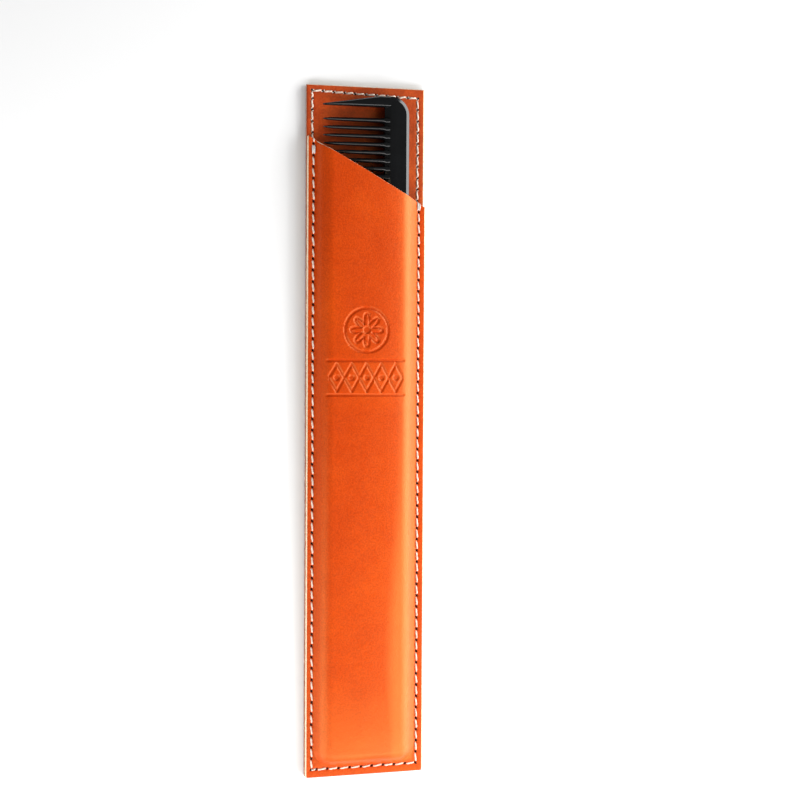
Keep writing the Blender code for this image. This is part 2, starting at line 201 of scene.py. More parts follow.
def bulge_height(x, y):
    """Rise of the moulded wall over the flange, with rounded bottom corners."""
    from_left = x - (LEFT_EDGE + BULGE_START_LEFT)
    from_right = (RIGHT_EDGE - BULGE_START_RIGHT) - x
    from_bottom = y - (BOTTOM_EDGE + BULGE_START_BOTTOM)
    from_side = np.minimum(from_left, from_right)
    radius = BULGE_CORNER_RADIUS
    across = radius - from_side
    along = radius - from_bottom
    in_corner = (across > 0) & (along > 0)
    depth = radius - np.hypot(across, along)
    share = np.arctan2(np.maximum(along, 0), np.maximum(across, TINY)) / (math.pi / 2)
    side_depth = np.where(in_corner, depth, from_side)
    on_right = from_left >= from_right
    side = np.where(on_right, slope_height(side_depth, RIGHT_SLOPE), slope_height(side_depth, LEFT_SLOPE))
    bottom = slope_height(np.where(in_corner, depth, from_bottom), BOTTOM_SLOPE)
    return np.where(in_corner, side + share * (bottom - side), np.minimum(side, bottom))


def mouth_drop(x):
    """How far the mouth's edge lies below the top edge of the sheath at x."""
    straight = MOUTH_LEFT_DROP + (x - LEFT_EDGE) / WIDTH * (MOUTH_RIGHT_DROP - MOUTH_LEFT_DROP)
    return straight + MOUTH_PULL * bulge_height(x, np.zeros_like(x)) / BULGE_RISE


def seam_corners():
    """Top left, top right, bottom right and bottom left corners of the seam line."""
    left = LEFT_EDGE + SEAM_LEFT
    right = RIGHT_EDGE - SEAM_RIGHT
    bottom = BOTTOM_EDGE + SEAM_BOTTOM
    return (
        Vector((left, TOP_EDGE - SEAM_TOP_LEFT)),
        Vector((right, TOP_EDGE - SEAM_TOP_RIGHT)),
        Vector((right, bottom)),
        Vector((left, bottom)),
    )


def seam_distance(x, y):
    """Distance of each point from the nearest side of the seam line."""
    corners = seam_corners()
    nearest = np.full(np.shape(x), 1.0)
    for start, end in zip(corners, corners[1:] + corners[:1]):
        run = end - start
        share = ((x - start.x) * run.x + (y - start.y) * run.y) / run.length_squared
        share = np.clip(share, 0, 1)
        away = np.hypot(x - start.x - share * run.x, y - start.y - share * run.y)
        nearest = np.minimum(nearest, away)
    return nearest


def round_corner(x, y, corner_x, corner_y, radius):
    """Moves points near a square corner so that it becomes a round one."""
    toward_x = math.copysign(1.0, corner_x)
    toward_y = math.copysign(1.0, corner_y)
    across = 1 - (corner_x - x) * toward_x / radius
    along = 1 - (corner_y - y) * toward_y / radius
    near = (across > 0) & (along > 0)
    u = np.clip(across, 0, 1)
    v = np.clip(along, 0, 1)
    new_x = corner_x - toward_x * radius * (1 - u * np.sqrt(1 - v * v / 2))
    new_y = corner_y - toward_y * radius * (1 - v * np.sqrt(1 - u * u / 2))
    return np.where(near, new_x, x), np.where(near, new_y, y)


def crown(x, y):
    """How far the pocket's face lies over or under the flat face of the frame."""
    to_teeth = TEETH_FALL * (np.minimum(x - CROWN_X, 0) / TEETH_SPAN) ** 2
    to_spine = SPINE_FALL * (np.maximum(x - CROWN_X, 0) / SPINE_SPAN) ** 2
    to_bottom = BOTTOM_FALL * (np.minimum(y - BOTTOM_FALL_Y, 0) / BOTTOM_SPAN) ** 2
    return CROWN_RISE - to_teeth - to_spine - to_bottom


def pocket_height(x, y):
    """Rise of the moulded front over the flange, a little crowned over the comb."""
    return bulge_height(x, y) * (1 + crown(x, y) / BULGE_RISE)


# Turns of the hide's waves, in radians per metre across and along, and where each starts
SLOW_ACROSS, SLOW_ACROSS_START = 310.0, 1.3
SLOW_ALONG, SLOW_ALONG_START = 83.0, 0.4
QUICK_SLANT, QUICK_SLANT_START = (520.0, 190.0), 2.1
QUICK_COUNTER_SLANT = (-130.0, 260.0)
SLOW_SHARE = 0.65
WAVE_DEPTH = 0.05 * MM


def waves(x, y):
    """Slow unevenness of a hand-worked hide."""
    slow = np.sin(x * SLOW_ACROSS + SLOW_ACROSS_START) * np.sin(y * SLOW_ALONG + SLOW_ALONG_START)
    quick = np.sin(x * QUICK_SLANT[0] + y * QUICK_SLANT[1] + QUICK_SLANT_START)
    quick = quick * np.cos(x * QUICK_COUNTER_SLANT[0] + y * QUICK_COUNTER_SLANT[1])
    return WAVE_DEPTH * (SLOW_SHARE * slow + (1 - SLOW_SHARE) * quick)


# Painted highlight: the hide is painted paler and warmer along the bends at the spine side and the bottom,
# where the lamps catch it. Reach and soft edge from each foot of the bulge
HIGHLIGHT_PAINT_RIGHT = 7.6 * MM
HIGHLIGHT_PAINT_FADE = 4.6 * MM
HIGHLIGHT_PAINT_WIDENING = 3.6 * MM
HIGHLIGHT_PAINT_WIDENING_RUN = 70.0 * MM
HIGHLIGHT_PAINT_BOTTOM = 30.0 * MM
HIGHLIGHT_PAINT_BOTTOM_FADE = 26.0 * MM
HIGHLIGHT_PAINT_BOTTOM_SHARE = 0.55
HIGHLIGHT_PAINT_SEAM_FADE = 1.2 * MM


def painted_highlight(x, y):
    """1 where a highlight is painted on the bends at the spine side and the bottom, else 0."""
    to_right = RIGHT_EDGE - BULGE_START_RIGHT - x
    to_bottom = y - (BOTTOM_EDGE + BULGE_START_BOTTOM)
    reach_right = HIGHLIGHT_PAINT_RIGHT + HIGHLIGHT_PAINT_WIDENING * smoothstep(-y / HIGHLIGHT_PAINT_WIDENING_RUN)
    on_right = smoothstep((reach_right - to_right) / HIGHLIGHT_PAINT_FADE)
    on_bottom = HIGHLIGHT_PAINT_BOTTOM_SHARE * smoothstep((HIGHLIGHT_PAINT_BOTTOM - to_bottom) / HIGHLIGHT_PAINT_BOTTOM_FADE)
    inside = smoothstep(to_right / HIGHLIGHT_PAINT_SEAM_FADE) * smoothstep(to_bottom / HIGHLIGHT_PAINT_SEAM_FADE)
    from_left = smoothstep((x - LEFT_EDGE - BULGE_START_LEFT) / HIGHLIGHT_PAINT_FADE)
    return np.maximum(on_right, on_bottom * from_left) * inside


# Debossed ornament: a rosette over a band of lozenges

ORNAMENT_X = -1.0 * MM
ROSETTE_Y = 29.5 * MM
ROSETTE_RADIUS = 6.3 * MM
ROSETTE_HEART = 0.7 * MM
PETALS = 8
PETAL_MIDDLE = 3.35 * MM
PETAL_SWING = 1.25 * MM
LEAST_PETAL = 0.5 * MM
BAND_Y = 15.9 * MM
BAND_HALF_LENGTH = 10.8 * MM
BAND_HALF_HEIGHT = 4.9 * MM
LOZENGES = 5
LOZENGE_GAP = 1.0 * MM
LOZENGE_DOT = 0.45 * MM
STROKE = 0.24 * MM
FINE_STROKE = 0.2 * MM
STROKE_SOFT = 0.26 * MM
DEBOSS_DEPTH = 0.3 * MM


def stroke_press(distance, half_width=STROKE):
    """1 in the middle of a pressed line, falling to 0 at its soft edge."""
    return 1.0 - smoothstep((np.abs(distance) - half_width) / STROKE_SOFT)


def rosette_press(x, y):
    dx = x - ORNAMENT_X
    dy = y - ROSETTE_Y
    radius = np.hypot(dx, dy)
    angle = np.arctan2(dy, dx)
    petals = PETAL_MIDDLE + PETAL_SWING * np.cos(PETALS * angle)
    steepness = PETALS * PETAL_SWING * np.sin(PETALS * angle) / np.maximum(petals, LEAST_PETAL)
    petal_distance = (radius - petals) / np.sqrt(1 + steepness**2)
    press = stroke_press(radius - ROSETTE_RADIUS)
    press = np.maximum(press, stroke_press(petal_distance, FINE_STROKE))
    return np.maximum(press, stroke_press(np.maximum(radius - ROSETTE_HEART, 0)))


def band_press(x, y):
    dx = x - ORNAMENT_X
    dy = y - BAND_Y
    beyond = np.maximum(np.abs(dx) - BAND_HALF_LENGTH, 0)
    lines = np.hypot(np.abs(dy) - BAND_HALF_HEIGHT, beyond)
    cell = 2 * BAND_HALF_LENGTH / LOZENGES
    local = (dx + BAND_HALF_LENGTH) % cell - cell / 2
    half_height = BAND_HALF_HEIGHT - LOZENGE_GAP
    slant = math.hypot(cell / 2, half_height)
    edge = (np.abs(local) * half_height + np.abs(dy) * cell / 2 - half_height * cell / 2) / slant
    inside = np.abs(dx) < BAND_HALF_LENGTH
    lozenges = np.where(inside, np.abs(edge), 1.0)
    dots = np.where(inside, np.maximum(np.hypot(local, dy) - LOZENGE_DOT, 0), 1.0)
    press = np.maximum(stroke_press(lines), stroke_press(lozenges, FINE_STROKE))
    return np.maximum(press, stroke_press(dots))


def ornament_press(x, y):
    return np.maximum(rosette_press(x, y), band_press(x, y))


# Stitch holes

HOLE_SHAKE = 0.06 * MM
HOLE_HALF_LENGTH = 0.5 * MM
HOLE_HALF_WIDTH = 0.29 * MM
HOLE_LIP = 0.14 * MM
HOLE_LIP_DEPTH = 0.35 * MM
HOLE_LIP_RISE = 0.01 * MM
HOLE_FLARE_GROWTH = 1.6
HOLE_TILT = math.radians(38.0)


def side_holes(start, end, first_stitch):
    """Holes from start up to, but not including, end, with a short first stitch."""
    run = end - start
    direction = run.normalized()
    holes = [start]
    if first_stitch:
        start = start + direction * first_stitch
        holes.append(start)
    stitches = round((end - start).length / STITCH_PITCH)
    return holes + [start.lerp(end, index / stitches) for index in range(1, stitches)]


def seam_holes():
    """Holes of the four sides: left side downwards, bottom, right side upwards, and top."""
    top_left, top_right, bottom_right, bottom_left = seam_corners()
    left = side_holes(top_left, bottom_left, FIRST_LEFT_STITCH)
    bottom = side_holes(bottom_left, bottom_right, FIRST_BOTTOM_STITCH)
    right = side_holes(top_right, bottom_right, 0.0) + [bottom_right]
    top = side_holes(top_left, top_right, 0.0) + [top_right]
    sides = (left, bottom, right[:0:-1], top[:0:-1])
    return [[hole + Vector(random.uniform(-HOLE_SHAKE, HOLE_SHAKE, 2)) for hole in side] for side in sides]


def cut_holes(panel, cuts, surface_height, top_height, tip_height, material):
    """Cuts a slanting diamond hole with a flared lip at each (hole, way of the seam) of cuts."""
    vertices = []
    faces = []
    for hole, direction in cuts:
        angle = math.atan2(direction.y, direction.x) + HOLE_TILT
        long_axis = Vector((math.cos(angle), math.sin(angle)))
        short_axis = Vector((-long_axis.y, long_axis.x))
        rings = (
            (tip_height, 0.0),
            (surface_height - HOLE_LIP_DEPTH, 0.0),
            (surface_height + HOLE_LIP_RISE, HOLE_LIP),
            (top_height, HOLE_LIP * HOLE_FLARE_GROWTH),
        )
        start = len(vertices)
        for height, flare in rings:
            for side in range(4):
                if side % 2 == 0:
                    offset = long_axis * (HOLE_HALF_LENGTH + flare) * (1 - side)
                else:
                    offset = short_axis * (HOLE_HALF_WIDTH + flare) * (2 - side)
                place = hole + offset
                vertices.append((place.x, place.y, height))
        add_tube_faces(faces, start, len(rings), 4)
    awls = mesh_object("awls", vertices, faces, [material])
    apply_boolean(panel, awls, "DIFFERENCE")


def run_directions(holes, closing=None):
    """The way the seam runs at each hole, closing being the hole after the last, if there is one."""
    following = holes[1:] + ([closing] if closing else [])
    ways = [(after - hole).normalized() for hole, after in zip(holes, following)]
    return ways if closing else ways + ways[-1:]


# Panels


# A slight trough along the seam, and the groove for the thread at the back
FRONT_TROUGH, FRONT_TROUGH_REACH = 0.07 * MM, 0.55 * MM
BACK_TROUGH, BACK_TROUGH_REACH = 0.12 * MM, 0.5 * MM
GROOVE_HALF_WIDTH, GROOVE_WALL = 0.34 * MM, 0.3 * MM
MOUTH_MARGIN = 0.3 * MM
# How far the awls that cut the holes reach past the leather
FRONT_AWL_ABOVE, FRONT_AWL_BELOW = 0.4 * MM, 0.05 * MM
BACK_AWL_ABOVE, BACK_AWL_DROP = 0.3 * MM, 0.1 * MM
# Spacing of the back's grid lines, close together in a band along the seam
SEAM_BAND, SEAM_STEP = 1.1 * MM, 0.16 * MM
BACK_STEP_ACROSS, BACK_STEP_ALONG = 0.6 * MM, 1.1 * MM
# Rings round a worked edge: share of the way from the upper face to the lower one, and reach
EDGE_RINGS = (
    (0.02, 0.45),
    (0.08, 0.80),
    (0.19, 0.98),
    (0.24, 0.92),
    (0.45, 1.00),
    (0.70, 0.96),
    (0.90, 0.90),
    (0.98, 0.55),
)
MOST_FRAY = 0.9
CORNER_REACH = 1.25
FIBRE_LENGTH = (0.12 * MM, 0.42 * MM)
FIBRE_RADIUS = (0.025 * MM, 0.06 * MM)
FIBRES_PER_METRE = 5000
TOP_FIBRES_PER_METRE = 3000
FIBRES_BELOW_MOUTH = 1.0 * MM
FIBRE_INSET = EDGE_INSET * 0.4
FIBRE_DROP = 0.05 * MM
FIBRE_BAND = 0.3 * MM
FIBRE_SPREAD = 0.6
FIBRE_LIFT = (-0.1, 0.7)
FIBRE_BEND = 0.12 * MM
FIBRE_SIDES = 4
# Rings of a fibre: share of its length, starting inside the leather, and share of its radius
FIBRE_RINGS = ((-0.3, 1.0), (0.4, 0.9), (0.8, 0.6), (1.0, 0.2))
CREAM_ROUGHNESS = 0.045 * MM
SMOOTH_ROUGHNESS = 0.008 * MM
# DARK_EDGE faces carry painted shade on the bottom edges and the back's left edge; HOLE_WALL faces carry
# painted shade in the stitch holes
FRONT_FACE, BACK_FACE, CREAM_EDGE, DARK_EDGE, HOLE_WALL = range(5)


def panel_from_grids(name, upper, lower, outward, materials, edges, coarse=1):
    """A closed panel from an upper and a lower grid of points joined by a worked edge.

    Both grids have the same rows and columns. The lower one keeps every coarse-th line. outward
    holds, for each point of the boundary loop, the way out of the panel. edges holds, for the
    bottom, right, top and left edges, the first ring that shows raw leather and its material.
    """
    rows, columns, _ = upper.shape
    vertices = list(upper.reshape(-1, 3))
    faces = grid_faces(rows, columns)
    slots = [0] * len(faces)
    number = np.arange(rows * columns).reshape(rows, columns)
    sides = (number[0, :-1], number[:-1, -1], number[-1, :0:-1], number[:0:-1, 0])
    loop = np.concatenate(sides).tolist()
    edge_of = [edge for edge, side in zip(edges, sides) for _ in side]
    previous = loop
    high = upper.reshape(-1, 3)[loop]
    low = lower.reshape(-1, 3)[loop]
    fray = random.normal(0, 1, (len(EDGE_RINGS), len(loop)))
    fray = (fray + np.roll(fray, 1, axis=1)) / 2
    for ring, (share, reach) in enumerate(EDGE_RINGS):
        cream = np.array([ring >= first and slot == CREAM_EDGE for first, slot in edge_of])
        rough = np.where(cream, CREAM_ROUGHNESS, SMOOTH_ROUGHNESS)
        out = EDGE_INSET * reach + np.minimum(rough * fray[ring], EDGE_INSET * (1 - reach) * MOST_FRAY)
        points = high + (low - high) * share + outward * out[:, None]
        start = len(vertices)
        vertices += list(points)
        current = list(range(start, start + len(loop)))
        for index in range(len(loop)):
            after = (index + 1) % len(loop)
            faces.append((previous[index], current[index], current[after], previous[after]))
            first_raw, raw_slot = edge_of[index]
            slots.append(raw_slot if ring >= first_raw else FRONT_FACE)
        previous = current
    kept_rows = sorted(set(range(0, rows, coarse)) | {rows - 1})
    kept_columns = sorted(set(range(0, columns, coarse)) | {columns - 1})
    kept = number[np.ix_(kept_rows, kept_columns)].ravel().tolist()
    place_of = {point: len(vertices) + index for index, point in enumerate(kept)}
    lower_faces = grid_faces(len(kept_rows), len(kept_columns), len(vertices), flip=True)
    vertices += list(lower.reshape(-1, 3)[kept])
    faces += lower_faces
    slots += [BACK_FACE] * len(lower_faces)
    stops = [index for index, point in enumerate(loop) if point in place_of]
    for stop, following in zip(stops, stops[1:] + [len(loop)]):
        fine = [previous[i % len(loop)] for i in range(stop, following + 1)]
        low_start = place_of[loop[stop]]
        low_end = place_of[loop[following % len(loop)]]
        faces.append(tuple(fine[::-1]) + (low_start, low_end))
        slots.append(BACK_FACE)
    return mesh_object(name, vertices, faces, materials, slots)


def add_fibres(panel, places, outward):
    """Short pale fibres standing out of a raw edge, from each place roughly along outward."""
    mesh = panel.data
    vertices = []
    faces = []
    for place in places:
        spread = random.normal(0, FIBRE_SPREAD)
        lift = random.uniform(*FIBRE_LIFT)
        sideways = Vector((-outward.y, outward.x, 0))
        direction = (outward + sideways * spread + Vector((0, 0, lift))).normalized()
        bend = sideways * random.normal(0, FIBRE_BEND)
        length = random.uniform(*FIBRE_LENGTH)
        radius = random.uniform(*FIBRE_RADIUS)
        across = direction.cross(Vector((0, 0, 1))).normalized()
        up = across.cross(direction)
        start = len(vertices)
        for share, size in FIBRE_RINGS:
            centre = place + direction * (length * share) + bend * max(share, 0) ** 2
            for turn in range(FIBRE_SIDES):
                angle = 2 * math.pi / FIBRE_SIDES * turn
                around = across * math.cos(angle) + up * math.sin(angle)
                vertices.append(tuple(centre + around * radius * size))
        add_tube_faces(faces, start, len(FIBRE_RINGS), FIBRE_SIDES)
    fibres = bpy.data.meshes.new("fibres")
    fibres.from_pydata(vertices, [], faces)
    fibres.shade_smooth()
    joined = bmesh.new()
    joined.from_mesh(mesh)
    known = len(joined.faces)
    joined.from_mesh(fibres)
    joined.faces.ensure_lookup_table()
    for index in range(known, len(joined.faces)):
        joined.faces[index].material_index = CREAM_EDGE
    joined.to_mesh(mesh)
    joined.free()
    bpy.data.meshes.remove(fibres)


def fibre_places(start, end, per_metre):
    """Random places on a straight edge from start to end, or a little below it."""
    count = round((end - start).length * per_metre)
    places = []
    for _ in range(count):
        place = start.lerp(end, random.uniform(0, 1))
        place.z -= random.uniform(0, FIBRE_BAND)
        places.append(place)
    return places


def boundary_outward(bottom, right, top, left):
    """Ways out of a panel along its boundary loop, from the ways out of its four edges."""
    corners = []
    meetings = ((left[0], bottom[0]), (bottom[-1], right[0]), (right[-1], top[-1]), (top[0], left[-1]))
    for first, second in meetings:
        corners.append((first + second) / np.linalg.norm(first + second) * CORNER_REACH)
    inner_sides = (bottom[1:-1], right[1:-1], top[-2:0:-1], left[-2:0:-1])
    return np.vstack([part for pair in zip(corners, inner_sides) for part in pair])


SLOPE_STEP = 0.01 * MM


def surface_normals(height, x, y):
    """Unit normals of a height function at each point."""
    step = SLOPE_STEP
    along_x = (height(x + step, y) - height(x - step, y)) / (2 * step)
    along_y = (height(x, y + step) - height(x, y - step)) / (2 * step)
    normal = np.stack([-along_x, -along_y, np.ones_like(along_x)], axis=-1)
    return normal / np.linalg.norm(normal, axis=-1, keepdims=True)


# Spacing of the front's grid lines: on the flange, over the walls, and on the face between them
FLANGE_STEP = 0.2 * MM
WALL_RUN, WALL_STEP = 2.9 * MM, 0.16 * MM
SPINE_WALL_RUN, SPINE_WALL_STEP = 4.5 * MM, 0.22 * MM
FACE_STEP = 0.21 * MM
BOTTOM_WALL_STEP = 0.17 * MM
BOTTOM_EASE_RUN, BOTTOM_EASE_STEP = 6.0 * MM, 0.35 * MM
PLAIN_STEP = 0.75 * MM
ORNAMENT_STEP = 0.22 * MM
ORNAMENT_MARGIN_BELOW, ORNAMENT_MARGIN_ABOVE = 1.0 * MM, 2.0 * MM
MOUTH_SHARE_STEP = 0.022
MOUTH_EDGE_SHARE, MOUTH_EDGE_SHARE_STEP = 0.93, 0.009


def front_columns():
    left_foot = LEFT_EDGE + BULGE_START_LEFT
    right_foot = RIGHT_EDGE - BULGE_START_RIGHT
    return places_through(
        (LEFT_EDGE + EDGE_INSET, left_foot, FLANGE_STEP),
        (left_foot, left_foot + WALL_RUN, WALL_STEP),
        (left_foot + WALL_RUN, right_foot - SPINE_WALL_RUN, FACE_STEP),
        (right_foot - SPINE_WALL_RUN, right_foot, SPINE_WALL_STEP),
        (right_foot, RIGHT_EDGE - EDGE_INSET, FLANGE_STEP),
    )


def front_rows(mouth):
    """Y of the front's grid: level rows up to the ornament's top, then ever more slanting ones."""
    foot = BOTTOM_EDGE + BULGE_START_BOTTOM
    ornament_low = BAND_Y - BAND_HALF_HEIGHT - ORNAMENT_MARGIN_BELOW
    level_top = ROSETTE_Y + ROSETTE_RADIUS + ORNAMENT_MARGIN_ABOVE
    level = places_through(
        (BOTTOM_EDGE + EDGE_INSET, foot, FLANGE_STEP),
        (foot, foot + WALL_RUN, BOTTOM_WALL_STEP),
        (foot + WALL_RUN, foot + BOTTOM_EASE_RUN, BOTTOM_EASE_STEP),
        (foot + BOTTOM_EASE_RUN, ornament_low, PLAIN_STEP),
        (ornament_low, level_top, ORNAMENT_STEP),
    )
    shares = places_through(
        (0.0, MOUTH_EDGE_SHARE, MOUTH_SHARE_STEP), (MOUTH_EDGE_SHARE, 1.0, MOUTH_EDGE_SHARE_STEP)
    )
    rows = [np.full_like(mouth, y) for y in level[:-1]]
    rows += [level_top + share * (mouth - level_top) for share in shares]
    return np.array(rows)


def edge_ways(rows, columns, top=None):
    """Ways out of the bottom, right, top and left edges of a grid, one for each of its points."""
    bottom = np.tile((0.0, -1.0, 0.0), (columns, 1))
    right = np.tile((1.0, 0.0, 0.0), (rows, 1))
    return bottom, right, -bottom if top is None else top, -right


def mark_points(panel, name, field):
    """Stores a value for each point of the panel's upper grid, which come first in its mesh."""
    values = np.zeros(len(panel.data.vertices), np.float32)
    values[: field.size] = field.ravel()
    panel.data.attributes.new(name, "FLOAT", "POINT").data.foreach_set("value", values)


def build_front_leather(materials, holes):
    columns = front_columns()
    y = front_rows(TOP_EDGE - mouth_drop(columns) - EDGE_INSET)
    x = np.tile(columns, (len(y), 1))
    for corner_x in (LEFT_EDGE, RIGHT_EDGE):
        x, y = round_corner(x, y, corner_x, BOTTOM_EDGE, CORNER_RADIUS)
    middle = pocket_height(x, y)
    normal = surface_normals(pocket_height, x, y)
    centre = np.stack([x, y, middle + FLANGE_UNDERSIDE + LEATHER / 2], axis=-1)
    press = ornament_press(x, y)
    plateau = smoothstep(middle / BULGE_RISE * 2 - 1)
    seam = seam_distance(x, y)
    trough = FRONT_TROUGH * np.exp(-((seam / FRONT_TROUGH_REACH) ** 2))
    relief = (waves(x, y) - WAVE_DEPTH) * plateau - DEBOSS_DEPTH * press - trough * (1 - plateau)
    upper = centre + normal * (LEATHER / 2 + np.minimum(relief, 0.0))[..., None]
    thinned = THINNING * smoothstep((1 - normal[..., 2:]) / THINNED_TILT)
    thinned *= smoothstep(middle / THINNING_RISE)[..., None]
    lower = centre - normal * (LEATHER / 2 - thinned)
    mouth_run = np.gradient(upper[-1], axis=0)
    mouth_out = np.cross(normal[-1], mouth_run)
    mouth_out /= np.linalg.norm(mouth_out, axis=1, keepdims=True)
    outward = boundary_outward(*edge_ways(*x.shape, mouth_out))
    # The bottom edge takes the dark edge material: painted shade
    edges = ((3, DARK_EDGE), (0, CREAM_EDGE), (2, CREAM_EDGE), (1, CREAM_EDGE))
    panel = panel_from_grids("front_leather", upper, lower, outward, materials, edges, coarse=4)
    mark_points(panel, "pressed", press)
    # Painted highlight: shares of paler, warmer colour along the bends, kept for the material
    mark_points(panel, "painted_highlight", painted_highlight(x, y))
    left, bottom, right, _ = holes
    ways = run_directions(left, bottom[0]) + run_directions(bottom, right[0]) + run_directions(right)
    kept = []
    for hole, way in zip(left + bottom + right, ways):
        if hole.y < TOP_EDGE - float(mouth_drop(np.array(hole.x))) - MOUTH_MARGIN:
            kept.append((hole, way))
    awls = (FLANGE_TOP, FLANGE_TOP + FRONT_AWL_ABOVE, FLANGE_UNDERSIDE - FRONT_AWL_BELOW)
    # The hole walls take a near-black material: painted shade inside the holes
    cut_holes(panel, kept, *awls, materials[HOLE_WALL])
    rim_height = FLANGE_TOP - FIBRE_DROP
    low = Vector((RIGHT_EDGE - FIBRE_INSET, BOTTOM_EDGE + CORNER_RADIUS, rim_height))
    high = Vector((low.x, TOP_EDGE - MOUTH_RIGHT_DROP - MOUTH_MARGIN, rim_height))
    add_fibres(panel, fibre_places(low, high, FIBRES_PER_METRE), Vector((1, 0, 0)))
    return panel


def build_back_leather(materials, holes):
    left_seam, right_seam = seam_corners()[0].x, seam_corners()[1].x
    low_seam = BOTTOM_EDGE + SEAM_BOTTOM + SEAM_BAND
    high_seam = TOP_EDGE - SEAM_TOP_RIGHT - SEAM_BAND
    across = places_through(
        (LEFT_EDGE + EDGE_INSET, left_seam + SEAM_BAND, SEAM_STEP),
        (left_seam + SEAM_BAND, right_seam - SEAM_BAND, BACK_STEP_ACROSS),
        (right_seam - SEAM_BAND, RIGHT_EDGE - EDGE_INSET, SEAM_STEP),
    )
    along = places_through(
        (BOTTOM_EDGE + EDGE_INSET, low_seam, SEAM_STEP),
        (low_seam, high_seam, BACK_STEP_ALONG),
        (high_seam, TOP_EDGE - EDGE_INSET, SEAM_STEP),
    )
    x, y = np.meshgrid(across, along)
    for corner_x in (LEFT_EDGE, RIGHT_EDGE):
        x, y = round_corner(x, y, corner_x, BOTTOM_EDGE, CORNER_RADIUS)
        x, y = round_corner(x, y, corner_x, TOP_EDGE, TOP_CORNER_RADIUS)
    seam = seam_distance(x, y)
    trough = BACK_TROUGH * np.exp(-((seam / BACK_TROUGH_REACH) ** 2))
    groove = BACK_GROOVE_DEPTH * (1 - smoothstep((seam - GROOVE_HALF_WIDTH) / GROOVE_WALL))
    upper = np.stack([x, y, LEATHER - trough], axis=-1)
    lower = np.stack([x, y, groove], axis=-1)
    outward = boundary_outward(*edge_ways(*x.shape))
    # The bottom and left edges take the dark edge material: painted shade
    edges = ((3, DARK_EDGE), (0, CREAM_EDGE), (1, CREAM_EDGE), (3, DARK_EDGE))
    panel = panel_from_grids("back_leather", upper, lower, outward, materials, edges)
    cuts = []
    for side, following in zip(holes, holes[1:] + holes[:1]):
        cuts += zip(side, run_directions(side, following[0]))
    awls = (LEATHER - BACK_AWL_DROP, LEATHER + BACK_AWL_ABOVE, -BACK_AWL_DROP)
    # The hole walls take a near-black material: painted shade inside the holes
    cut_holes(panel, cuts, *awls, materials[HOLE_WALL])
    rim = Vector((RIGHT_EDGE - FIBRE_INSET, TOP_EDGE - FIBRE_INSET, LEATHER - FIBRE_DROP))
    low = Vector((rim.x, TOP_EDGE - MOUTH_RIGHT_DROP - FIBRES_BELOW_MOUTH, rim.z))
    add_fibres(panel, fibre_places(low, rim, FIBRES_PER_METRE), Vector((1, 0, 0)))
    middle = Vector((0.0, rim.y, rim.z))
    add_fibres(panel, fibre_places(middle, rim, TOP_FIBRES_PER_METRE), Vector((0, 1, 0)))
    return panel


# Thread


STITCH_SIDES = 15
PLIES = 3
TWIST_PITCH = 1.7 * MM
THREAD_TAPER = (0.6, 0.62, 0.66, 0.74, 0.86, 0.96, 1.0)
THREAD_SHARP_DEGREES = 80.0
THREAD_LOBE = 0.12
THREAD_SHAKE = 0.06
STITCH_SLANT = 0.48
STITCH_SLANT_SHAKE = 0.08
FRONT_LIFT, BACK_LIFT = 0.13 * MM, 0.26 * MM
TACK_LIFT = 0.26 * MM
TACK_HALF_GAP = 0.25 * MM
TACK_THREAD_SHARE = 0.9
TACK_PHASE = 1.7
# Front stitches sink a little into the back panel's face, and step up over the mouth's edge
STITCH_SINK = 0.1 * MM
MOUTH_STEP_START, MOUTH_STEP_RUN = 0.45 * MM, 0.6 * MM
LEAST_FLAT = 0.1 * MM
# Half of a stitch from its hole to its middle: how far along from the hole's centre, and height
STITCH_RISE = (
    (0.36 * MM, -0.95 * MM),
    (0.38 * MM, -0.62 * MM),
    (0.42 * MM, -0.36 * MM),
    (0.50 * MM, -0.14 * MM),
    (0.64 * MM, 0.05 * MM),
    (0.86 * MM, 0.18 * MM),
    (1.15 * MM, 0.235 * MM),
)


def stitch_path(start, end, surface, direction_up, lift, slant):
    """Centre line of one stitch: up out of its first hole, along the leather, and down again."""
    run = end - start
    length = run.length
    direction = run.normalized()
    sideways = Vector((-direction.y, direction.x))
    reach = min(1.0, length / 2 / (STITCH_RISE[-1][0] + LEAST_FLAT))
    half = [(along * reach, height) for along, height in STITCH_RISE]
    profile = half + [(length / 2, lift)] + [(length - along, height) for along, height in half[::-1]]
    points = []
    for along, height in profile:
        share = along / length
        place = start + direction * along + sideways * slant * (share - 0.5)
        level = surface(place.x, place.y) + direction_up * (height - STITCH_RISE[-1][1] + lift)
        points.append(Vector((place.x, place.y, level)))
    return points


def thread_tube(path, radius, phase, vertices, faces):
    """Adds a twisted thread, pulled thinner at its ends, to a list of vertices and faces."""
    start = len(vertices)
    travelled = 0.0
    for ring, point in enumerate(path):
        from_end = min(ring, len(path) - 1 - ring)
        pulled = radius * THREAD_TAPER[min(from_end, len(THREAD_TAPER) - 1)]
        before = path[max(ring - 1, 0)]
        after = path[min(ring + 1, len(path) - 1)]
        direction = (after - before).normalized()
        side = direction.cross(Vector((0, 0, 1))).normalized()
        up = side.cross(direction).normalized()
        travelled += (point - before).length
        turn = phase + 2 * math.pi * travelled / TWIST_PITCH
        for step in range(STITCH_SIDES):
            angle = 2 * math.pi * step / STITCH_SIDES
            lobe = 1 - THREAD_LOBE + THREAD_LOBE * math.cos(PLIES * angle - turn)
            reach = pulled * lobe
            place = point + side * (reach * math.cos(angle)) + up * (reach * math.sin(angle))
            vertices.append(tuple(place))
    add_tube_faces(faces, start, len(path), STITCH_SIDES)


def front_surface(x, y):
    """Height of the leather under a front stitch, stepping up at the mouth's edge."""
    mouth = TOP_EDGE - float(mouth_drop(np.array(x)))
    step = float(smoothstep((mouth + MOUTH_STEP_START - y) / MOUTH_STEP_RUN))
    return LEATHER - STITCH_SINK + step * (FLANGE_TOP - LEATHER)


def back_surface(x, y):
    return BACK_GROOVE_DEPTH


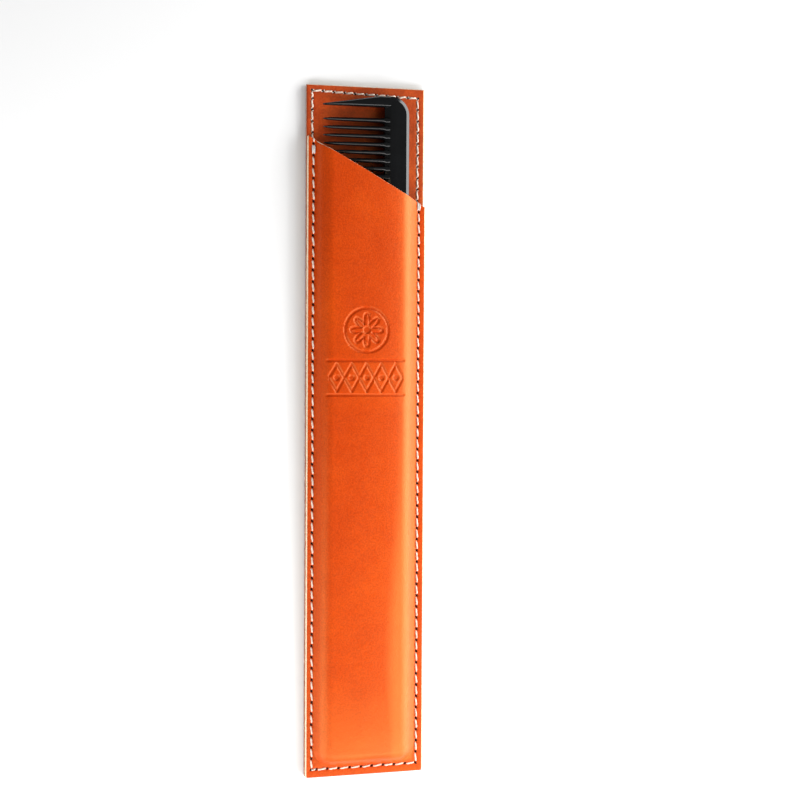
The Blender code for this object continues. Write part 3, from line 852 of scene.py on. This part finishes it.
def build_stitches(name, runs, surface, direction_up, lift, material):
    """A row of stitches for each run of holes, the thread leaning a little across the seam."""
    vertices = []
    faces = []
    for run in runs:
        for start, end in zip(run, run[1:]):
            shake = random.uniform(-STITCH_SLANT_SHAKE, STITCH_SLANT_SHAKE)
            slant = (STITCH_SLANT + shake) * MM * direction_up
            size = THREAD_RADIUS * (1 + random.uniform(-THREAD_SHAKE, THREAD_SHAKE))
            path = stitch_path(start, end, surface, direction_up, lift, slant)
            thread_tube(path, size, random.uniform(0, 2 * math.pi), vertices, faces)
    return mesh_object(name, vertices, faces, [material], sharp_degrees=THREAD_SHARP_DEGREES)


def build_tack(name, start, end, material):
    """Two strands side by side between the same two holes."""
    vertices = []
    faces = []
    direction = (end - start).normalized()
    sideways = Vector((-direction.y, direction.x))
    for side in (-1, 1):
        offset = sideways * side * TACK_HALF_GAP
        path = stitch_path(start + offset, end + offset, front_surface, 1, TACK_LIFT, 0.0)
        thread_tube(path, THREAD_RADIUS * TACK_THREAD_SHARE, side * TACK_PHASE, vertices, faces)
    return mesh_object(name, vertices, faces, [material], sharp_degrees=THREAD_SHARP_DEGREES)


# Comb


COMB_WIDTH = comb_high.x - comb_low.x
COMB_LENGTH = comb_high.y - comb_low.y
COMB_HALF_THICKNESS = (comb_high.z - comb_low.z) / 2
COMB_MIDDLE = (comb_high.z + comb_low.z) / 2
TIP_HALF_THICKNESS = 0.6 * MM
SPINE_CORNER_RADIUS = 5.2 * MM
SPINE_CHAMFER = 0.95 * MM
SPINE_CHAMFER_DROP = 0.5 * MM
SPINE_SOFTENING = 0.08 * MM
SPINE_CORNER_STEPS = 18
SPINE_STEPS = 60
TOOTH_LENGTH = 18.2 * MM
TOOTH_TAPER_LENGTH = 16.5 * MM
FIRST_TOOTH_FROM_END = 6.9 * MM
COARSE_PITCH = 2.3 * MM
FINE_PITCH = 1.45 * MM
COARSE_ROOT_GAP = 1.15 * MM
FINE_ROOT_GAP = 0.72 * MM
GUARD_ROOT_WIDTH = 3.0 * MM
GUARD_TIP_DROP = 2.6 * MM
GUARD_SHOULDER = 16.5 * MM
GUARD_TIP_WIDTH = 0.5 * MM
GUARD_TIP_RUN = 1.6 * MM
GUARD_END_SHARE = 0.4
GUARD_EASE = 0.1 * MM
RAMP_RUN = 1.5 * MM
RAMP_FOOT = 0.42 * MM
RAMP_SHOULDER, RAMP_SHOULDER_DROP = 0.93, 0.03 * MM
RAMP_TOE, RAMP_TOE_DROP = 0.1 * MM, 0.12 * MM
TIP_ROUNDING = 1.2 * MM
TIP_END_SHARE = 0.45
MOST_CREST_WIDTH = 0.7 * MM
# Places along a guard tooth, from inside the spine to its tip
GUARD_STATIONS = (TOOTH_LENGTH + RAMP_RUN, GUARD_SHOULDER, 12 * MM, 8 * MM, 4 * MM, 1.6 * MM, 0.6 * MM, 0)
COMB_SHARP_DEGREES = 24


def arc(centre_x, centre_y, start_degrees):
    """Points of a quarter turn round a corner of the comb's back."""
    points = []
    for step in range(SPINE_CORNER_STEPS + 1):
        angle = math.radians(start_degrees + 90 * step / SPINE_CORNER_STEPS)
        reach = Vector((math.cos(angle), math.sin(angle))) * SPINE_CORNER_RADIUS
        points.append((centre_x + reach.x, centre_y + reach.y))
    return points


def half_thickness(x):
    """Half the comb's thickness, x from the tooth tips."""
    share = min(max(x / TOOTH_TAPER_LENGTH, 0.0), 1.0)
    return TIP_HALF_THICKNESS + share * (COMB_HALF_THICKNESS - TIP_HALF_THICKNESS)


def comb_point(x, y, z):
    """A point of the comb, x from the tooth tips and y from the bottom end, in the frame."""
    return (comb_low.x + x, comb_low.y + y, COMB_MIDDLE + z)


def build_spine():
    """The back of the comb: a rounded outline with a chamfered back and a ramped toothed side."""
    radius = SPINE_CORNER_RADIUS
    centre_x = COMB_WIDTH - radius
    back = arc(centre_x, radius, -90) + arc(centre_x, COMB_LENGTH - radius, 0)
    half = COMB_HALF_THICKNESS
    chamfer = SPINE_CHAMFER
    # Each ring from the face down to the edge: inset from the outline, and height
    back_rings = (
        (chamfer, half),
        (chamfer / 2, half - SPINE_CHAMFER_DROP / 2),
        (SPINE_SOFTENING / 2, half - SPINE_CHAMFER_DROP),
        (0.0, half - SPINE_CHAMFER_DROP - SPINE_SOFTENING),
    )
    ramp_rings = (
        (RAMP_RUN, half),
        (RAMP_RUN * RAMP_SHOULDER, half - RAMP_SHOULDER_DROP),
        (RAMP_TOE, RAMP_FOOT),
        (0.0, RAMP_FOOT - RAMP_TOE_DROP),
    )
    vertices = []
    for level, upper in [(level, 1) for level in range(4)] + [(3 - level, -1) for level in range(4)]:
        end_inset, end_height = back_rings[level]
        for x, y in back:
            centre_y = min(max(y, radius), COMB_LENGTH - radius)
            place_x = x - end_inset * (x - centre_x) / radius
            place_y = y - end_inset * (y - centre_y) / radius
            vertices.append(comb_point(place_x, place_y, end_height * upper))
        inset, height = ramp_rings[level]
        vertices.append(comb_point(TOOTH_LENGTH + inset, COMB_LENGTH - end_inset, end_height * upper))
        for step in range(SPINE_STEPS - 1, 0, -1):
            y = COMB_LENGTH * step / SPINE_STEPS
            if level < 2:
                y = min(max(y, chamfer), COMB_LENGTH - chamfer)
            vertices.append(comb_point(TOOTH_LENGTH + inset, y, height * upper))
        vertices.append(comb_point(TOOTH_LENGTH + inset, end_inset, end_height * upper))
    faces = []
    add_tube_faces(faces, 0, 8, len(vertices) // 8, flip=True)
    return mesh_object("comb_body", vertices, faces, [])


# A quarter of a tooth's section from its crest to its side: share of the half width, and drop
# below the crest as a share of the half width
TOOTH_QUARTER = ((0.16, 0.0), (0.30, 0.06), (0.56, 0.24), (0.93, 0.74), (1.0, 1.0))


def tooth_section(half_width, half_height):
    """Points round a tooth with a bevelled crest above and below, anticlockwise in (y, z)."""
    quarter = [(half_width * share, half_height - half_width * drop) for share, drop in TOOTH_QUARTER]
    upper = quarter[::-1] + [(-y, z) for y, z in quarter]
    return upper + [(-y, -z) for y, z in upper]


def add_tooth(stations, vertices, faces):
    """A closed tooth through (x, lower edge y, upper edge y) stations, from root to tip."""
    start = len(vertices)
    for x, low, high in stations:
        half_width = (high - low) / 2
        half_height = half_thickness(x)
        if x < TIP_ROUNDING:
            half_height *= TIP_END_SHARE + (1 - TIP_END_SHARE) * math.sqrt(x / TIP_ROUNDING)
        crest_width = min(half_width, MOST_CREST_WIDTH)
        for y, z in tooth_section(crest_width, half_height):
            y += math.copysign(half_width - crest_width, y)
            vertices.append(comb_point(x, (low + high) / 2 + y, z))
    add_tube_faces(faces, start, len(stations), 4 * len(TOOTH_QUARTER), flip=True)


def tooth_centres():
    """Y of every tooth above the comb's bottom end, with its half's pitch and gap."""
    centres = []
    place = COMB_LENGTH - FIRST_TOOTH_FROM_END
    while place > COMB_LENGTH / 2:
        centres.append((place, COARSE_PITCH, COARSE_ROOT_GAP))
        place -= COARSE_PITCH
    while place > FIRST_TOOTH_FROM_END - FINE_PITCH / 2:
        centres.append((place, FINE_PITCH, FINE_ROOT_GAP))
        place -= FINE_PITCH
    return centres


# Places along a tooth, from inside the spine to its tip, and share of its root's width there
TOOTH_STATIONS = (
    (TOOTH_LENGTH + RAMP_RUN * 0.8, 1.5),
    (TOOTH_LENGTH + 0.1 * MM, 1.62),
    (TOOTH_LENGTH - 0.6 * MM, 1.22),
    (TOOTH_LENGTH - 1.6 * MM, 1.02),
    (TOOTH_LENGTH * 0.72, 0.97),
    (TOOTH_LENGTH * 0.5, 0.92),
    (TOOTH_LENGTH * 0.28, 0.86),
    (3.0 * MM, 0.8),
    (1.8 * MM, 0.68),
    (0.9 * MM, 0.5),
    (0.3 * MM, 0.3),
    (0.0, 0.12),
)


def tooth_stations(centre, half_root):
    return [(x, centre - half_root * share, centre + half_root * share) for x, share in TOOTH_STATIONS]


def guard_stations(upper_end):
    """The guard tooth at one end: its outer edge slants, its inner edge is square to the spine."""
    stations = []
    for x in GUARD_STATIONS:
        slant = 1 - min(x / GUARD_SHOULDER, 1.0)
        outer = COMB_LENGTH - GUARD_TIP_DROP * slant
        inner = COMB_LENGTH - GUARD_ROOT_WIDTH - (GUARD_EASE if x > 0 else 0.0)
        to_tip = min(x / GUARD_TIP_RUN, 1.0)
        width = GUARD_TIP_WIDTH * (GUARD_END_SHARE + (1 - GUARD_END_SHARE) * to_tip)
        inner = min(inner, outer - width)
        low, high = (inner, outer) if upper_end else (COMB_LENGTH - outer, COMB_LENGTH - inner)
        stations.append((x, low, high))
    return stations


def build_comb(material):
    comb = build_spine()
    vertices = []
    faces = []
    for centre, pitch, root_gap in tooth_centres():
        add_tooth(tooth_stations(centre, (pitch - root_gap) / 2), vertices, faces)
    add_tooth(guard_stations(True), vertices, faces)
    add_tooth(guard_stations(False), vertices, faces)
    teeth = mesh_object("comb_teeth", vertices, faces, [])
    apply_boolean(comb, teeth, "UNION")
    comb.data.materials.clear()
    comb.data.materials.append(material)
    comb.data.shade_smooth()
    comb.data.set_sharp_from_angle(angle=math.radians(COMB_SHARP_DEGREES))
    return comb


# Materials


def new_material(name):
    material = bpy.data.materials.new(name)
    material.use_nodes = True
    tree = material.node_tree
    shader = tree.nodes["Principled BSDF"]
    place = tree.nodes.new("ShaderNodeTexCoord")
    return material, tree, shader, place.outputs["Object"]


def link_or_set(tree, socket, value):
    if isinstance(value, bpy.types.NodeSocket):
        tree.links.new(value, socket)
    elif isinstance(value, (int, float)):
        socket.default_value = value
    else:
        socket.default_value = (*value, 1.0)


def add_node(tree, kind, settings, inputs):
    """A shader node with its own settings, and each of its inputs linked or set."""
    node = tree.nodes.new(kind)
    for setting, value in settings.items():
        setattr(node, setting, value)
    for name, value in inputs.items():
        link_or_set(tree, node.inputs[name], value)
    return node


def noise(tree, place, scale, detail=4.0, roughness=0.55):
    inputs = {"Vector": place, "Scale": scale, "Detail": detail, "Roughness": roughness}
    return add_node(tree, "ShaderNodeTexNoise", {}, inputs).outputs["Fac"]


def cells(tree, place, scale):
    settings = {"feature": "DISTANCE_TO_EDGE"}
    inputs = {"Vector": place, "Scale": scale}
    return add_node(tree, "ShaderNodeTexVoronoi", settings, inputs).outputs["Distance"]


def ramp(tree, value, low, dark, high, light, middle=None):
    """Colours from dark at low to light at high, by way of middle halfway up the scale."""
    stops = [(low, dark)] + ([(0.5, middle)] if middle else []) + [(high, light)]
    node = add_node(tree, "ShaderNodeValToRGB", {}, {"Fac": value})
    elements = node.color_ramp.elements
    while len(elements) < len(stops):
        elements.new(0.5)
    for element, (position, colour) in zip(elements, stops):
        element.position = position
        element.color = (*colour, 1.0)
    return node.outputs["Color"]


def mix_colour(tree, share, first, second, blend="MIX"):
    settings = {"data_type": "RGBA", "blend_type": blend}
    inputs = {"Factor": share, "A": first, "B": second}
    return add_node(tree, "ShaderNodeMix", settings, inputs).outputs["Result"]


def multiply(tree, first, second):
    settings = {"operation": "MULTIPLY"}
    return add_node(tree, "ShaderNodeMath", settings, {0: first, 1: second}).outputs["Value"]


def map_value(tree, value, low, high):
    inputs = {"Value": value, "To Min": low, "To Max": high}
    return add_node(tree, "ShaderNodeMapRange", {}, inputs).outputs["Result"]


def bump(tree, shader, heights):
    """Chains bumps of (height, strength, distance) into the shader's normal."""
    previous = None
    for height, strength, distance in heights:
        inputs = {"Strength": strength, "Distance": distance, "Height": height}
        node = add_node(tree, "ShaderNodeBump", {}, inputs)
        if previous:
            tree.links.new(previous, node.inputs["Normal"])
        previous = node.outputs["Normal"]
    tree.links.new(previous, shader.inputs["Normal"])


def attribute(tree, name):
    return add_node(tree, "ShaderNodeAttribute", {"attribute_name": name}, {}).outputs["Fac"]


# Grain leathers: name, dyes from dark to light, roughness, mottles per metre and grain
GRAIN_LOOKS = (
    ("front_grain", (0.54, 0.041, 0.0012), (0.59, 0.050, 0.0015), (0.65, 0.064, 0.002), 0.38, 75, 0.55),
    ("back_grain", (0.29, 0.021, 0.003), (0.45, 0.039, 0.005), (0.59, 0.074, 0.009), 0.5, 190, 0.5),
    ("back_flat", (0.34, 0.024, 0.003), (0.50, 0.042, 0.004), (0.62, 0.072, 0.008), 0.5, 110, 0.35),
)
# Painted highlight: colour and share laid over the grain along the bends where the lamps catch the hide
PAINTED_HIGHLIGHT_COLOUR = (0.80, 0.185, 0.035)
PAINTED_HIGHLIGHT_SHARE = 0.5
PRESSED_SHARE = 0.5
PORE_SHADE, PORE_LIGHT = (0.68, 0.58, 0.54), (1.07, 1.07, 1.07)
PORE_SHARE = 0.6
LEATHER_SHEEN = (1.0, 0.6, 0.2, 1.0)
# Procedural detail, in features per metre
PORE_SCALE, PEBBLE_SCALE, WRINKLE_SCALE, HANDLING_SCALE = 2100.0, 2300.0, 900.0, 420.0
PEBBLE_STRENGTH = 0.26
UNEVENNESS = 0.08
PORE_STRENGTH = 0.7


def grain_leather(name, dark, middle, light, roughness, mottle_scale, grain_strength):
    """Dyed grain side: mottled dye, fine pebble grain and pores."""
    material, tree, shader, place = new_material(name)
    mottle = noise(tree, place, mottle_scale, 6.0, 0.6)
    colour = ramp(tree, mottle, 0.28, dark, 0.74, light, middle)
    pores = noise(tree, place, PORE_SCALE, 3.0, 0.6)
    speckle = ramp(tree, pores, 0.34, PORE_SHADE, 0.62, PORE_LIGHT)
    colour = mix_colour(tree, PORE_SHARE, colour, speckle, "MULTIPLY")
    darker = multiply(tree, attribute(tree, "pressed"), PRESSED_SHARE)
    colour = mix_colour(tree, darker, colour, dark)
    # Painted highlight along the bends, read from the point values marked on the front panel
    highlight_share = multiply(tree, attribute(tree, "painted_highlight"), PAINTED_HIGHLIGHT_SHARE)
    colour = mix_colour(tree, highlight_share, colour, PAINTED_HIGHLIGHT_COLOUR)
    tree.links.new(colour, shader.inputs["Base Color"])
    handling = noise(tree, place, HANDLING_SCALE, 5.0)
    uneven = map_value(tree, handling, roughness - UNEVENNESS, roughness + UNEVENNESS)
    tree.links.new(uneven, shader.inputs["Roughness"])
    shader.inputs["Specular IOR Level"].default_value = 0.8
    shader.inputs["Specular Tint"].default_value = LEATHER_SHEEN
    pebbles = ramp(tree, cells(tree, place, PEBBLE_SCALE), 0.0, (0, 0, 0), 0.3, (1, 1, 1))
    wrinkles = noise(tree, place, WRINKLE_SCALE, 5.0, 0.6)
    heights = (
        (pebbles, grain_strength * PEBBLE_STRENGTH, 0.1 * MM),
        (wrinkles, grain_strength, 0.1 * MM),
        (pores, PORE_STRENGTH, 0.08 * MM),
    )
    bump(tree, shader, heights)
    return material


# The front's inside, raw edges, edges painted dark as shade, and hole walls painted dark as shade: name,
# and fibres dark and light
FLESH_LOOKS = (
    ("suede", (0.24, 0.055, 0.016), (0.42, 0.13, 0.045)),
    ("raw_edge", (0.66, 0.46, 0.26), (0.95, 0.83, 0.60)),
    # painted shade along the bottom edges and the back's left edge
    ("painted_shade_edge", (0.09, 0.014, 0.006), (0.50, 0.22, 0.09)),
    # painted shade: the hole walls are made near-black for the shadow inside the holes
    ("hole_painted_shade", (0.06, 0.006, 0.003), (0.18, 0.020, 0.008)),
)
FLESH_SCALE, FUZZ_SCALE = 1500.0, 5200.0


def flesh_leather(name, dark, light):
    """Undyed or thinly dyed fibres: the inside face and the raw edges; the same fibres, dark, stand for
    painted shade on some edges and in the stitch holes.
    """
    material, tree, shader, place = new_material(name)
    fibres = noise(tree, place, FLESH_SCALE, 8.0, 0.7)
    tree.links.new(ramp(tree, fibres, 0.3, dark, 0.68, light), shader.inputs["Base Color"])
    shader.inputs["Roughness"].default_value = 0.92
    shader.inputs["Sheen Weight"].default_value = 0.25
    shader.inputs["Sheen Roughness"].default_value = 0.5
    fuzz = noise(tree, place, FUZZ_SCALE, 3.0)
    bump(tree, shader, ((fibres, 0.6, 0.2 * MM), (fuzz, 0.4, 0.1 * MM)))
    return material


CREAM_FIBRES = ((0.60, 0.48, 0.39), (0.88, 0.77, 0.66))
GREY_FIBRES = ((0.50, 0.48, 0.45), (0.82, 0.80, 0.77))
SOIL, CLEAN = (0.86, 0.8, 0.74), (1.0, 1.0, 1.0)
SOIL_SHARE = 0.6
THREAD_FIBRE_SCALE, SOIL_SCALE = 6500.0, 260.0


def thread_material(name, shade, light):
    """Waxed twisted thread: pale fibres with a slight soil."""
    material, tree, shader, place = new_material(name)
    fibres = noise(tree, place, THREAD_FIBRE_SCALE, 4.0, 0.6)
    colour = ramp(tree, fibres, 0.25, shade, 0.6, light)
    soil = ramp(tree, noise(tree, place, SOIL_SCALE, 2.0), 0.35, SOIL, 0.6, CLEAN)
    colour = mix_colour(tree, SOIL_SHARE, colour, soil, "MULTIPLY")
    tree.links.new(colour, shader.inputs["Base Color"])
    shader.inputs["Roughness"].default_value = 0.62
    shader.inputs["Sheen Weight"].default_value = 0.3
    bump(tree, shader, ((fibres, 0.35, 0.06 * MM),))
    return material


COMB_BLACK, COMB_CLOUD = (0.0022, 0.0024, 0.0027), (0.0042, 0.0046, 0.0052)
COMB_ROUGHNESS = (0.1, 0.26)
CLOUD_SCALE, MARK_SCALE, COMB_GRAIN_SCALE = 160.0, 1400.0, 2600.0


def comb_material():
    """Near-black polished plastic with faint handling marks."""
    material, tree, shader, place = new_material("black_comb")
    cloud = noise(tree, place, CLOUD_SCALE, 6.0, 0.6)
    colour = ramp(tree, cloud, 0.3, COMB_BLACK, 0.7, COMB_CLOUD)
    tree.links.new(colour, shader.inputs["Base Color"])
    marks = map_value(tree, noise(tree, place, MARK_SCALE, 7.0, 0.7), *COMB_ROUGHNESS)
    tree.links.new(marks, shader.inputs["Roughness"])
    shader.inputs["Specular IOR Level"].default_value = 0.55
    bump(tree, shader, ((noise(tree, place, COMB_GRAIN_SCALE, 4.0), 0.02, 0.03 * MM),))
    return material


# Studio


FLOOR_SIZE, FLOOR_DROP = 4.0, 0.3 * MM
PAPER_SHADE, PAPER_LIGHT = (0.86, 0.86, 0.86), (0.9, 0.9, 0.9)


def build_floor():
    """White paper just under the object."""
    bpy.ops.mesh.primitive_plane_add(size=FLOOR_SIZE, location=(0, 0, -FLOOR_DROP))
    floor = bpy.context.object
    floor.name = "floor"
    material, tree, shader, place = new_material("floor_paper")
    colour = ramp(tree, noise(tree, place, 3.0, 2.0), 0.3, PAPER_SHADE, 0.7, PAPER_LIGHT)
    tree.links.new(colour, shader.inputs["Base Color"])
    shader.inputs["Roughness"].default_value = 0.9
    floor.data.materials.append(material)


# Softboxes, all white: name, place, point it faces, sides and power in watts
LIGHTS = (
    ("key", (0.40, 0.04, 0.16), (0.0, 0.0, 0.0), (0.9, 0.24), 4.35),
    ("upper_key", (0.30, -0.05, 0.32), (0.0, 0.0, 0.0), (0.8, 0.16), 0.9),
    ("front", (0.12, -0.36, 0.36), (0.0, -0.05, 0.0), (0.4, 0.25), 1.38),
    ("fill", (-0.24, -0.22, 0.16), (0.0, -0.06, 0.0), (0.3, 0.3), 1.3),
)
WORLD_STRENGTH = 0.12


def build_studio():
    scene = bpy.context.scene
    scene.view_settings.view_transform = "Standard"
    scene.world = bpy.data.worlds.new("studio")
    scene.world.use_nodes = True
    surroundings = scene.world.node_tree.nodes["Background"]
    surroundings.inputs["Color"].default_value = (1.0, 1.0, 1.0, 1.0)
    surroundings.inputs["Strength"].default_value = WORLD_STRENGTH
    for name, place, target, sides, power in LIGHTS:
        data = bpy.data.lights.new(name, "AREA")
        data.shape = "RECTANGLE"
        data.size, data.size_y = sides
        data.energy = power
        light = bpy.data.objects.new(name, data)
        light.location = place
        light.rotation_euler = (Vector(target) - Vector(place)).to_track_quat("-Z", "Y").to_euler()
        scene.collection.objects.link(light)


CAMERA_PLACE = (-0.1332, 0.0263, 0.4760)
CAMERA_TARGET = (0.00986, 0.00937, 0.004)
CAMERA_LENS_MM, CAMERA_SENSOR_MM = 76.83, 36.0
CAMERA_NEAR = 10.0 * MM
CAMERA_ROLL_DEGREES = 0.315


def build_camera():
    data = bpy.data.cameras.new("camera")
    data.sensor_width = CAMERA_SENSOR_MM
    data.lens = CAMERA_LENS_MM
    data.clip_start = CAMERA_NEAR
    camera = bpy.data.objects.new("camera", data)
    camera.location = CAMERA_PLACE
    forward = (Vector(CAMERA_TARGET) - Vector(CAMERA_PLACE)).normalized()
    right = forward.cross(Vector((0, 1, 0))).normalized()
    up = right.cross(forward)
    level = Matrix((right, up, -forward)).transposed()
    roll = Matrix.Rotation(math.radians(CAMERA_ROLL_DEGREES), 3, "Z")
    camera.rotation_euler = (level @ roll).to_euler()
    bpy.context.scene.collection.objects.link(camera)
    bpy.context.scene.camera = camera


def build_leather(holes):
    """The two panels: each has its grain, its other face, pale edges, edges painted dark as shade, and
    hole walls painted dark as shade.
    """
    front_grain, back_grain, back_face = [grain_leather(*look) for look in GRAIN_LOOKS]
    suede, *edges = [flesh_leather(*look) for look in FLESH_LOOKS]
    front = build_front_leather([front_grain, suede] + edges, holes)
    back = build_back_leather([back_grain, back_face] + edges, holes)
    return front, back


def build_thread(holes):
    """The pocket's, the top's and the back's stitches, and the two tacks at the mouth."""
    left, bottom, right, top = holes
    cream = thread_material("cream_thread", *CREAM_FIBRES)
    grey = thread_material("grey_thread", *GREY_FIBRES)
    left_mouth = LEFT_TACK_STITCH + 1
    right_mouth = len(right) - RIGHT_TACK_STITCH
    pocket_runs = [left[left_mouth:] + bottom + right[:right_mouth]]
    top_runs = [right[right_mouth:] + top + [left[0]], left[:left_mouth]]
    back_runs = [left + bottom + right + top + [left[0]]]
    return (
        build_stitches("pocket_stitches", pocket_runs, front_surface, 1, FRONT_LIFT, cream),
        build_stitches("top_stitches", top_runs, front_surface, 1, FRONT_LIFT, cream),
        build_stitches("back_stitches", back_runs, back_surface, -1, BACK_LIFT, cream),
        build_tack("left_tack", left[left_mouth - 1], left[left_mouth], grey),
        build_tack("right_tack", right[right_mouth], right[right_mouth - 1], grey),
    )


def main():
    build_camera()
    holes = seam_holes()
    front, back = build_leather(holes)
    pocket, upper, under, left_tack, right_tack = build_thread(holes)
    comb = build_comb(comb_material())
    for piece, body, node, slot in (
        (front, "sheath", "front_panel", "leather"),
        (back, "sheath", "back_panel", "leather"),
        (pocket, "sheath", "pocket_thread", "thread"),
        (upper, "sheath", "top_thread", "thread"),
        (under, "sheath", "back_thread", "thread"),
        (left_tack, "sheath", "left_mouth_tack", "thread"),
        (right_tack, "sheath", "right_mouth_tack", "thread"),
        (comb, "comb", "comb", "comb"),
    ):
        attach(piece, body)
        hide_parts(node)
    build_floor()
    build_studio()


main()
